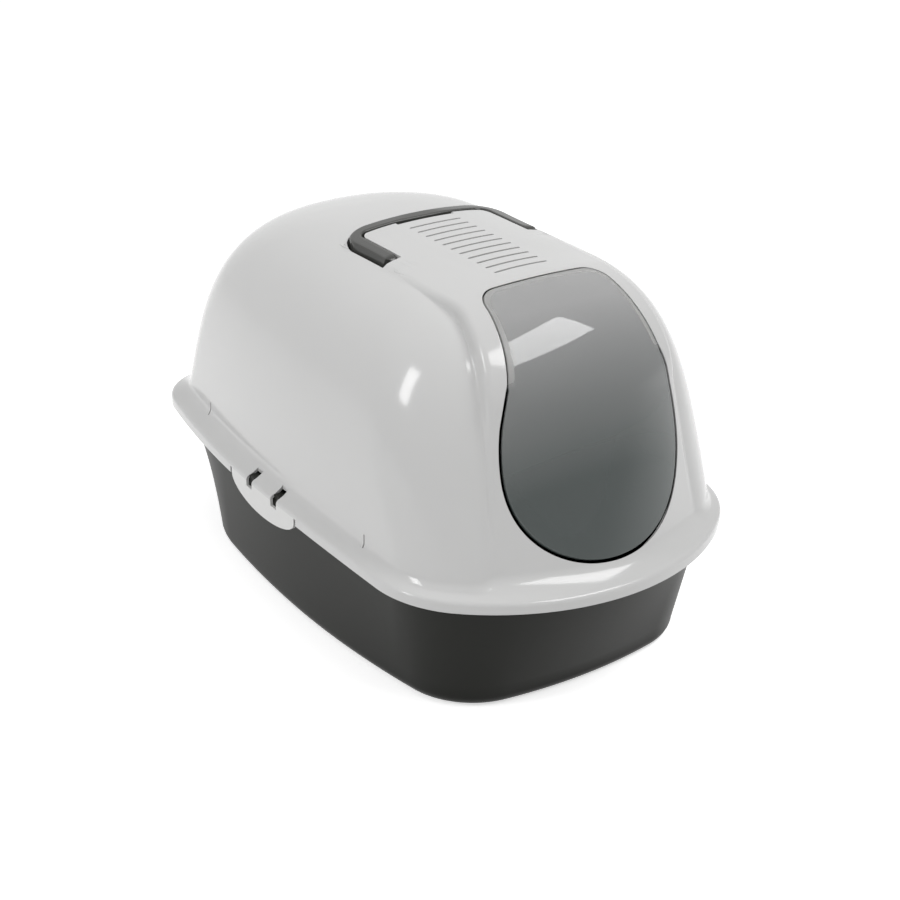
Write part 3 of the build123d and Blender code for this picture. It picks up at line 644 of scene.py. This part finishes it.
# ---- handle ---------------------------------------------------------------------------------
def handle_points(edge=HANDLE_EDGE):
    """The folded handle: a rounded four-sided section carried along two horseshoes.

    The top is a crown across the whole width, cut by the arm's side view; the bar's underside runs
    parallel to the crown and the arms reach lower.
    """
    front = PEG_Y - ARM_END_R + 0.15
    back, half = HANDLE_BACK_Y, HANDLE_OUTER
    outer = horseshoe(half, back, HANDLE_CORNER, front + ARM_END_SKEW, 30, 20, 30)
    inner = horseshoe(ARM_INNER, back - HANDLE_BAR, HANDLE_BEND, front, 30, 20, 30)
    width = np.linalg.norm(outer - inner, axis=-1)
    bend_y = back - HANDLE_CORNER * ARM_SHARE
    arm_share = np.clip((bend_y - outer[:, 1]) / (HANDLE_CORNER * (1 - ARM_SHARE)), 0, 1)
    # A point of the section: the side it is measured from (1 inner, -1 outer, 0 for a share of the
    # width), how far off that side, whether it belongs to the top, and its drop or rise from there.
    quarter = edge - arc((0, 0), edge, 0, 90, 4)
    middle = np.linspace(0.25, 0.75, 3)
    section = []
    for side, high in ((1, True), (-1, True), (-1, False), (1, False)):
        rows = quarter if (side == 1) == high else quarter[::-1]
        section += [(side, off, high, drop) for off, drop in rows]
        if (side == 1) == high:
            section += [(0, share, high, 0.0) for share in (middle if high else middle[::-1])]
    rings = []
    for side, off, high, drop in section:
        lean = HANDLE_LEAN * arm_share if high else 0.0
        share = {1: off / width, -1: 1 - (off + lean) / width, 0: off * (1 - lean / width)}[side]
        place = inner + (outer - inner) * np.broadcast_to(share, width.shape)[:, None]
        x, y = place[:, 0], place[:, 1]
        crown = HANDLE_TOP_Z - HANDLE_CROWN + np.sqrt(HANDLE_CROWN ** 2 - x ** 2)
        ahead = np.minimum(y - PEG_Y, 0)
        disc = np.sqrt(np.maximum(ARM_END_R ** 2 - ahead ** 2, 0.02))
        arm_top = np.interp(y, (PEG_Y, back), (PEG_Z + ARM_END_R, HANDLE_TOP_Z))
        arm_top = np.where(y < PEG_Y, PEG_Z + disc, arm_top)
        arm_low = np.interp(y, (PEG_Y, back - HANDLE_BAR), (PEG_Z - ARM_END_R, HANDLE_LOW_Z))
        arm_low = np.where(y < PEG_Y, PEG_Z - disc, arm_low)
        inner_r = HANDLE_CROWN - HANDLE_BAR_HEIGHT
        bar_low = HANDLE_TOP_Z - HANDLE_CROWN + np.sqrt(inner_r ** 2 - x ** 2)
        low = np.where(np.abs(x) < ARM_INNER, np.maximum(arm_low, bar_low), arm_low)
        top = np.minimum(arm_top, crown)
        tall = np.clip((top - low) / (2 * edge), 0, 1)
        rings.append(np.column_stack((x, y, top - drop * tall if high else low + drop * tall)))
    return np.stack(rings, axis=1)


# ---- tray -----------------------------------------------------------------------------------
TRAY_FOOT = (151.0, 232.0, 238.0, 26.0, 14.0, 17.5, 60.0, 71.0, 120.0)
TRAY_BOTTOM_R, TRAY_TOP_INSET, TRAY_WALL = 12.0, 14.0, 2.8
RIM_INSET, RIM_TOP_Z, RIM_LOW_Z, RIM_THICKNESS = 3.1, 118.0, 111.4, 2.4
RIM_INNER_R, RIM_OUTER_R, RIM_LOW_R, RIM_COVE = 1.2, 1.0, 0.5, 0.8
FOOT_WIDTH, FOOT_HEIGHT, FOOT_EDGE = 4.0, 1.2, (0.5, 0.4, 0.3)
LUG_SIZE, LUG_TOP_Z, LUG_INSET, LUG_CLEARANCE = 8.6, 122.0, 0.8, 0.6


def plan_ring(turn, outline, inset):
    """Points in plan where rays from the middle meet an outline moved in by `inset`, by halving."""
    def past(distance):
        return rounded_outline(distance * np.cos(turn), distance * np.sin(turn), *outline) > -inset

    distance = halve(past, np.zeros_like(turn), np.full_like(turn, 340.0), 26)
    return np.column_stack((distance * np.cos(turn), distance * np.sin(turn)))


def tray_points(columns=480):
    """The tray as one closed grid: floor, inner wall, rim, outer wall, rounded foot and underside.

    Every row is the foot's outline or the lip's, moved in, or a straight mix of the two on a wall.
    """
    turn = np.linspace(0, 2 * np.pi, columns, endpoint=False)
    rows = []

    def add(plan, z):
        rows.append(np.column_stack((plan, np.full(columns, z))))

    def foot(inset):
        return plan_ring(turn, TRAY_FOOT, inset)

    def lip(inset):
        return plan_ring(turn, LIP, inset)

    floor_z, r = TRAY_WALL + FOOT_HEIGHT, TRAY_BOTTOM_R - TRAY_WALL
    base = foot(TRAY_BOTTOM_R)
    for share in (0.02, 0.3, 0.6, 0.85, 0.95):
        add(base * share, floor_z)
    for angle in np.radians(np.linspace(0, 90, 9)):
        add(foot(TRAY_WALL + r * (1 - math.sin(angle))), floor_z + r * (1 - math.cos(angle)))
    low, high = foot(TRAY_WALL), lip(TRAY_TOP_INSET + TRAY_WALL)
    start_z = floor_z + r
    for share in np.linspace(0.12, 0.97, 9):
        add(low + (high - low) * share, start_z + (RIM_TOP_Z - start_z) * share)
    for angle in np.radians((30, 60, 90)):
        add(lip(TRAY_TOP_INSET + TRAY_WALL - RIM_INNER_R * math.sin(angle)),
            RIM_TOP_Z - RIM_INNER_R * math.cos(angle))
    for angle in np.radians((0, 30, 60, 90)):
        add(lip(RIM_INSET + RIM_OUTER_R * (1 - math.sin(angle))),
            RIM_TOP_Z - RIM_OUTER_R * (1 - math.cos(angle)))
    under_rim = RIM_TOP_Z - RIM_THICKNESS
    for inset, z in ((0.0, RIM_LOW_Z + RIM_LOW_R), (RIM_LOW_R, RIM_LOW_Z),
                     (RIM_THICKNESS - RIM_LOW_R, RIM_LOW_Z),
                     (RIM_THICKNESS, RIM_LOW_Z + RIM_LOW_R),
                     (RIM_THICKNESS, under_rim - RIM_COVE), (RIM_THICKNESS + RIM_COVE, under_rim)):
        add(lip(RIM_INSET + inset), z)
    low, high = foot(0.0), lip(TRAY_TOP_INSET)
    start_z = TRAY_BOTTOM_R
    for share in (0.976, 0.95, 0.9, 0.8, 0.7, 0.6, 0.5, 0.4, 0.3, 0.2, 0.1, 0.0):
        add(low + (high - low) * share, start_z + (RIM_TOP_Z - start_z) * share)
    for angle in np.radians(np.linspace(80, 0, 9)):
        add(foot(TRAY_BOTTOM_R * (1 - math.sin(angle))), TRAY_BOTTOM_R * (1 - math.cos(angle)))
    foot_inset = TRAY_BOTTOM_R + FOOT_WIDTH
    add(foot(foot_inset - FOOT_EDGE[0]), 0.0)
    add(foot(foot_inset), FOOT_EDGE[1])
    under = foot(foot_inset + FOOT_EDGE[2])
    for share in (1.0, 0.85, 0.5, 0.02):
        add(under * share, FOOT_HEIGHT)
    return np.stack(rows)


# ---- materials ------------------------------------------------------------------------------
PLASTIC_IOR, GLOSS_SPREAD, FROST_COLOUR, FROST_ROUGHNESS = 1.49, 0.03, (0.62, 0.62, 0.61, 1.0), 0.45
WHITE = (1.0, 1.0, 1.0, 1.0)


def new_material(name):
    """Material with nothing in its node tree, and that tree."""
    material = bpy.data.materials.new(name)
    material.use_nodes = True
    material.node_tree.nodes.clear()
    return material, material.node_tree


def add_node(tree, kind, inputs=(), **properties):
    """New shader node; each input is either joined to a socket or set to a constant."""
    node = tree.nodes.new("ShaderNode" + kind)
    for name, value in properties.items():
        setattr(node, name, value)
    for name, value in dict(inputs).items():
        if isinstance(value, bpy.types.NodeSocket):
            tree.links.new(value, node.inputs[name])
        else:
            node.inputs[name].default_value = value
    return node


def noise(tree, inputs):
    """Noise in the piece's own coordinates, from 0 to 1."""
    place = add_node(tree, "TexCoord").outputs["Object"]
    return add_node(tree, "TexNoise", {"Vector": place, **inputs}).outputs["Fac"]


def scaled(tree, value, low, high):
    """A value from 0 to 1 carried over to the range from low to high."""
    inputs = {"Value": value, "To Min": low, "To Max": high}
    return add_node(tree, "MapRange", inputs).outputs["Result"]


def mixed(tree, factor, a, b, **properties):
    """The mix of a and b by a factor."""
    inputs = {"Factor": factor, "A": a, "B": b}
    return add_node(tree, "Mix", inputs, **properties).outputs["Result"]


def plastic(tree, inputs):
    """Principled shader, joined to the material's output."""
    shader = add_node(tree, "BsdfPrincipled", inputs)
    add_node(tree, "OutputMaterial", {"Surface": shader.outputs["BSDF"]})


def moulded(name, colour, roughness, grain_mm, grain_depth, mottle=0.02, specular=0.5):
    """Moulded plastic: fine eroded grain in bump and gloss, faint flow mottle in colour."""
    material, tree = new_material(name)
    grain = noise(tree, {"Scale": 1 / MM / grain_mm, "Detail": 3.0})
    flow = noise(tree, {"Scale": 9.0, "Detail": 4.0})
    tone = scaled(tree, flow, 1.0 - mottle, 1.0 + mottle)
    bump = {"Height": grain, "Distance": grain_depth * MM, "Strength": 0.35}
    plastic(tree, {
        "Base Color": mixed(tree, 1.0, (*colour, 1.0), tone, data_type="RGBA",
                            blend_type="MULTIPLY"),
        "Roughness": scaled(tree, grain, roughness - GLOSS_SPREAD, roughness + GLOSS_SPREAD),
        "Normal": add_node(tree, "Bump", bump).outputs["Normal"],
        "IOR": PLASTIC_IOR, "Specular IOR Level": specular})
    return material


def smoked(name, tint, pale):
    """Polished smoked plastic that lets some light through, frosted on the border.

    The attribute `height` mixes the tint with the paler colour, which is a painted reflection: the
    door's upward-facing top drawn lighter as if it mirrored bright light above. `border` mixes in
    the frost.
    """
    material, tree = new_material(name)
    height, border = (add_node(tree, "Attribute", attribute_name=mark).outputs["Fac"]
                      for mark in ("height", "border"))
    # Painted reflection: the tint turns to the paler colour up the door.
    body = mixed(tree, height, (*tint, 1.0), (*pale, 1.0), data_type="RGBA")
    gloss = scaled(tree, noise(tree, {"Scale": 60.0}), 0.02, 0.05)
    plastic(tree, {
        "Base Color": mixed(tree, border, body, FROST_COLOUR, data_type="RGBA"),
        "Roughness": mixed(tree, border, gloss, FROST_ROUGHNESS),
        "Transmission Weight": 0.55, "IOR": PLASTIC_IOR})
    return material


def paint(piece, material):
    """Makes the material the only one on a piece."""
    piece.data.materials.clear()
    piece.data.materials.append(material)


# ---- operators ------------------------------------------------------------------------------
PIVOT_Y, PIVOT_Z, PIVOT_LEAN, PIVOT_R = -203.0, 271.0, 28.0, 3.0
PIVOT_EAR, EAR_LENGTH, EAR_R, PIN_END, PIN_FIT = (66.5, 72.4), 8.0, 5.6, 81.5, 0.25
VENT_PITCH, VENT_FIRST_Y, VENT_DEPTH = 12.3, -121.5, 8.0
LATCH_Y, LATCH_HALF, LATCH_ROOT_Z, LATCH_NOTCH = 14.5, 56.5, 117.0, 3.0
WINDOW_SPACING, WINDOW_SIZE, WINDOW_LOW_Z, WINDOW_INSET = 22.0, 10.0, 111.8, 12.6
TICK_SPACING, TICK_LOW_Z, TICK_HEIGHT, TICK_WIDTH, TICK_DEPTH = 146.0, DOME_Z + 3, 12.0, 1.6, 1.0
NOTCH_X, CLEAR = (150.0, 176.0), 8.0          # a cut runs CLEAR past the surface that it opens
FILTER_HALF, FILTER_FRONT_Y, FILTER_BACK_Y, FILTER_LOW_Z = 38.0, -123.0, -1.0, 315.5
RAIL, RAIL_GAP, RAIL_SINK = 3.0, 0.3, 0.6
SKY_Z = ROOF_Z + 20


def about(middle, reach_out):
    """Pair of places at the same distance on both sides of a middle."""
    return middle - reach_out, middle + reach_out


def settle(piece, body, slot, *nodes):
    """Rides a finished piece on its CAD body and hides the CAD nodes it stands for; `slot` is not
    used.
    """
    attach(piece, body)
    if nodes:
        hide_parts(*nodes)


def lug(name, x, radius, length):
    """Rounded block from a disc round the door's pivot out to the panel."""
    lean = math.radians(180 - PIVOT_LEAN)
    disc = arc((0, 0), radius, 90, -90, 12)
    shape = np.concatenate((disc * (-1, 1), [(length, -radius), (length, radius)]))
    turn = np.array(((math.cos(lean), math.sin(lean)), (-math.sin(lean), math.cos(lean))))
    return prism(name, shape @ turn + (PIVOT_Y, PIVOT_Z), 0, *x)


def rod(name, x, y, z, radius, steps=24):
    """Round pin or bore along X."""
    return prism(name, arc((y, z), radius, 0, 360, steps)[:-1], 0, *x)


def side_of_dome(y, z):
    """Half width of the dome at a height, by halving."""
    low, high = 100.0, 180.0
    for _ in range(20):
        middle = (low + high) / 2
        inside = dome_field(np.array([middle]), np.array([y]), np.array([z]))[0] < 0
        low, high = (middle, high) if inside else (low, middle)
    return low


class LITTERBOX_OT_hood(bpy.types.Operator):
    """Build the hood: moulded wall, handle pocket, vents, latch notches and windows"""

    bl_idname = "litterbox.hood"
    bl_label = "Hood"

    def execute(self, context):
        settings = context.scene.litter_box
        hood = ring("hood_moulding", hood_points())

        def under_roof(x, y):
            return roof_height(x, y) - WALL * 0.3

        def sky(x, y):
            return np.full(np.shape(x), SKY_Z)

        carved(hood, trough("pocket_wall", WALL, under_roof), "UNION")
        carved(hood, scoop("scoop_wall", WALL, under_roof), "UNION")
        rail = np.array((FILTER_HALF + RAIL_GAP, FILTER_HALF + RAIL_GAP + RAIL))
        ribs = [block("rail", side * rail, (FILTER_FRONT_Y, FILTER_BACK_Y + RAIL),
                      (FILTER_LOW_Z + 1, ROOF_Z - WALL - RAIL_SINK)) for side in (-1, 1)]
        carved(hood, together("ribs", *ribs), "UNION")
        carved(hood, trough("pocket", 0, sky), "DIFFERENCE")
        cuts = [scoop("scoop", 0, sky)]
        end_r, reach_x = settings.vent_width / MM / 2, settings.vent_length / MM / 2
        slot = np.concatenate((arc((reach_x - end_r, 0), end_r, -90, 90, 8),
                               arc((end_r - reach_x, 0), end_r, 90, 270, 8)))
        cuts += [prism("vent", slot + (0, VENT_FIRST_Y + row * VENT_PITCH), 2,
                       ROOF_Z - VENT_DEPTH, ROOF_Z + VENT_DEPTH) for row in range(settings.vents)]
        for side in (-1, 1):
            cuts.append(block("notch", side * np.array(NOTCH_X),
                              about(LATCH_Y, LATCH_HALF + LATCH_NOTCH),
                              (LIP_Z - CLEAR, LATCH_ROOT_Z)))
            bore_x = np.array((ARM_INNER - PEG_REACH - 1, ARM_INNER + 1))
            cuts.append(rod("peg_bore", side * bore_x, PEG_Y, PEG_Z, PEG_R + PIN_FIT))
            for y in about(LATCH_Y, TICK_SPACING):
                x = side_of_dome(y, TICK_LOW_Z + TICK_HEIGHT / 2)
                cuts.append(block("tick", side * np.array((x - TICK_DEPTH, x + CLEAR)),
                                  about(y, TICK_WIDTH / 2),
                                  (TICK_LOW_Z, TICK_LOW_Z + TICK_HEIGHT)))
        carved(hood, together("cuts", *cuts), "DIFFERENCE")
        window_x = np.array((HALF_WIDTH - WINDOW_INSET, HALF_WIDTH + CLEAR))
        windows = [block("window", side * window_x, about(y, WINDOW_SIZE / 2),
                         (WINDOW_LOW_Z, ROOF_Z / 2))
                   for side in (-1, 1) for y in about(LATCH_Y, WINDOW_SPACING)]
        carved(hood, together("windows", *windows), "DIFFERENCE")
        shade(hood.data)
        paint(hood, moulded("hood_plastic", settings.hood_colour, 0.12, 0.9, 0.015))
        settle(hood, "hood_shell", "hood_plastic", "hood")
        return {"FINISHED"}


class LITTERBOX_OT_door(bpy.types.Operator):
    """Build the smoked swing door with its lighter border, a painted reflection that pales its top,
    ears and pins
    """

    bl_idname = "litterbox.door"
    bl_label = "Door"

    def execute(self, context):
        settings = context.scene.litter_box
        points, inset = door_points()
        door = tube("door_sheet", points)
        v = up_slope(points)
        border = np.clip((settings.door_border / MM - inset) / BORDER_SOFT, 0, 1)
        # `height` paints a reflection: the door's colour grows paler towards its top, as if it
        # mirrored bright light above.
        marks = {"border": border * np.interp(v, BORDER_V, (0, 1)),
                 "height": np.interp(v, PAINTED_REFLECTION_V, (0, 1))}
        for name, values in marks.items():
            mark = door.data.attributes.new(name, "FLOAT", "POINT")
            mark.data.foreach_set("value", values.ravel())
        material = smoked("door_smoked", settings.door_tint, settings.door_top_painted_reflection)
        paint(door, material)
        settle(door, "swing_door", "door_smoked", "door")
        fittings = []
        for side in (-1, 1):
            x = sorted(side * place for place in PIVOT_EAR)
            fittings.append(lug("ear", x, EAR_R, EAR_LENGTH))
            x = sorted(side * place for place in (PIVOT_EAR[1], PIN_END))
            fittings.append(rod("pin", x, PIVOT_Y, PIVOT_Z, PIVOT_R))
        ears = together("door_pins", *fittings)
        paint(ears, material)
        shade(ears.data)
        settle(ears, "swing_door", "door_smoked")
        return {"FINISHED"}


class LITTERBOX_OT_handle(bpy.types.Operator):
    """Build the folded carry handle and its pegs"""

    bl_idname = "litterbox.handle"
    bl_label = "Carry Handle"

    def execute(self, context):
        settings = context.scene.litter_box
        handle = tube("handle", handle_points())
        pegs = [rod("peg", sorted((side * (ARM_INNER - PEG_REACH), side * (ARM_INNER + 1))),
                    PEG_Y, PEG_Z, PEG_R) for side in (-1, 1)]
        carved(handle, together("pegs", *pegs), "UNION")
        shade(handle.data)
        paint(handle, moulded("handle_plastic", settings.handle_colour, 0.22, 0.8, 0.02))
        settle(handle, "bail", "handle_plastic", "carry_handle")
        return {"FINISHED"}


class LITTERBOX_OT_tray(bpy.types.Operator):
    """Build the tray with its rolled rim and the four latch lugs"""

    bl_idname = "litterbox.tray"
    bl_label = "Tray"

    def execute(self, context):
        settings = context.scene.litter_box
        tray = tube("tray_tub", tray_points())
        x = (HALF_WIDTH - WINDOW_INSET + LUG_INSET, HALF_WIDTH - RIM_INSET - LUG_CLEARANCE)
        lugs = [block("lug", sorted(side * place for place in x), about(y, LUG_SIZE / 2),
                      (RIM_TOP_Z - 1, LUG_TOP_Z))
                for side in (-1, 1) for y in about(LATCH_Y, WINDOW_SPACING)]
        carved(tray, together("lugs", *lugs), "UNION")
        shade(tray.data)
        paint(tray, moulded("tray_plastic", settings.tray_colour, 0.4, 0.9, 0.04, specular=0.15))
        settle(tray, "tray_base", "tray_plastic", "tray")
        return {"FINISHED"}


class LITTERBOX_OT_small_parts(bpy.types.Operator):
    """Paint the latch tongues, the filter holder and its pad, which keep their CAD shape"""

    bl_idname = "litterbox.small_parts"
    bl_label = "Latches and Filter"

    def execute(self, context):
        hood = bpy.data.materials["hood_plastic"]
        holder = moulded("frame_plastic", (0.25, 0.25, 0.25), 0.45, 0.8, 0.05)
        pad = moulded("carbon_pad", (0.03, 0.03, 0.03), 0.9, 2.0, 0.5, 0.15)
        materials = {"left_latch_tongue": hood, "right_latch_tongue": hood,
                     "filter_frame": holder, "carbon_filter": pad}
        for node, material in materials.items():
            paint(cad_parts[node], material)
        return {"FINISHED"}


# ---- stage ----------------------------------------------------------------------------------
# Glow for bounced rays and for rays that are seen; the camera stands left of the door, above it.
FLOOR_HALF, FLOOR_GLOW, SKY_GLOW = 6.0, (0.0, 0.6), (0.35, 1.0)
CAMERA_LENS = 71.21
CAMERA_PLACE = (-0.8131, -1.1971, 0.8296)
CAMERA_RIGHT = (0.8256, -0.56404, 0.01556)
CAMERA_UP = (0.2371, 0.3718, 0.89752)
CAMERA_FORWARD = (0.51202, 0.73731, -0.44069)


def seen_rays(tree):
    """Socket that is 1 for rays seen directly, in a reflection or through something clear."""
    path = add_node(tree, "LightPath").outputs
    total = path["Is Camera Ray"]
    for kind in ("Is Glossy Ray", "Is Transmission Ray"):
        either = add_node(tree, "Math", {0: total, 1: path[kind]}, operation="MAXIMUM")
        total = either.outputs["Value"]
    return total


def lamp(name, location, target, size, power, size_y=None):
    """Rectangular soft lamp aimed at a point."""
    light = bpy.data.lights.new(name, "AREA")
    light.shape, light.size, light.size_y = "RECTANGLE", size, size_y or size
    light.energy = power
    piece = bpy.data.objects.new(name, light)
    piece.location, piece.rotation_mode = location, "QUATERNION"
    direction = Vector(target) - Vector(location)
    piece.rotation_quaternion = direction.to_track_quat("-Z", "Y")
    bpy.context.scene.collection.objects.link(piece)
    return piece


class LITTERBOX_OT_stage(bpy.types.Operator):
    """Build the pale floor, the soft lamps and the camera"""

    bl_idname = "litterbox.stage"
    bl_label = "Stage"

    def execute(self, context):
        scene = context.scene
        scene.view_settings.view_transform = "Standard"

        # Floor: white to the eye and in reflections, pale to bounced light, and it takes shadows.
        mesh = bpy.data.meshes.new("floor")
        h = FLOOR_HALF
        mesh.from_pydata([(-h, -h, 0), (h, -h, 0), (h, h, 0), (-h, h, 0)], [], [(0, 1, 2, 3)])
        floor = bpy.data.objects.new("floor", mesh)
        scene.collection.objects.link(floor)
        material, tree = new_material("floor_white")
        plastic(tree, {
            "Base Color": (0.9, 0.9, 0.9, 1.0), "Roughness": 0.9, "Specular IOR Level": 0.1,
            "Emission Color": WHITE,
            "Emission Strength": scaled(tree, seen_rays(tree), *FLOOR_GLOW)})
        mesh.materials.append(material)

        world = bpy.data.worlds.new("studio")
        world.use_nodes = True
        tree = world.node_tree
        background = tree.nodes["Background"].inputs
        background["Color"].default_value = WHITE
        tree.links.new(scaled(tree, seen_rays(tree), *SKY_GLOW), background["Strength"])
        scene.world = world

        middle = (0.0, 0.0, 0.15)
        lamp("front_softbox", (0.62, -1.15, 2.0), (0.0, -0.25, 0.25), 1.62, 25.0, 0.72)
        lamp("side_strip", (-1.85, 0.14, 1.15), (-0.13, -0.15, 0.27), 0.33, 7.0, 0.72)
        lamp("top_softbox", (-0.5, 0.8, 2.4), middle, 2.0, 12.5).visible_glossy = False
        lamp("left_softbox", (-2.2, 0.2, 1.3), middle, 1.6, 7.0).visible_glossy = False

        camera = bpy.data.cameras.new("camera")
        camera.sensor_width = 36.0
        camera.lens = CAMERA_LENS
        camera.clip_start = 0.05
        camera.clip_end = 50.0
        view = bpy.data.objects.new("camera", camera)
        right, up, forward = (Vector(axis) for axis in (CAMERA_RIGHT, CAMERA_UP, CAMERA_FORWARD))
        turn = Matrix((right, up, -forward)).transposed()
        view.matrix_world = Matrix.Translation(CAMERA_PLACE) @ turn.to_4x4()
        scene.collection.objects.link(view)
        scene.camera = view
        return {"FINISHED"}


class LITTERBOX_PT_panel(bpy.types.Panel):
    """Sidebar panel that lists the build steps"""

    bl_idname = "LITTERBOX_PT_panel"
    bl_label = "Litter Box"
    bl_space_type = "VIEW_3D"
    bl_region_type = "UI"
    bl_category = "Litter Box"

    def draw(self, context):
        layout = self.layout
        settings = context.scene.litter_box
        for name in settings.bl_rna.properties.keys():
            if name not in ("rna_type", "name"):
                layout.prop(settings, name)
        for step in STEPS:
            layout.operator(step.bl_idname)


STEPS = (LITTERBOX_OT_hood, LITTERBOX_OT_door, LITTERBOX_OT_handle, LITTERBOX_OT_tray,
         LITTERBOX_OT_small_parts, LITTERBOX_OT_stage)
CLASSES = (LitterBoxSettings, *STEPS, LITTERBOX_PT_panel)


def register():
    """Registers the classes and hangs the settings on the scene."""
    for cls in CLASSES:
        bpy.utils.register_class(cls)
    bpy.types.Scene.litter_box = bpy.props.PointerProperty(type=LitterBoxSettings)


def unregister():
    """Takes the settings and classes away again."""
    del bpy.types.Scene.litter_box
    for cls in reversed(CLASSES):
        bpy.utils.unregister_class(cls)


def main():
    """Builds everything in order."""
    register()
    for step in STEPS:
        group, name = step.bl_idname.split(".")
        getattr(getattr(bpy.ops, group), name)()


if __name__ == "__main__":
    main()
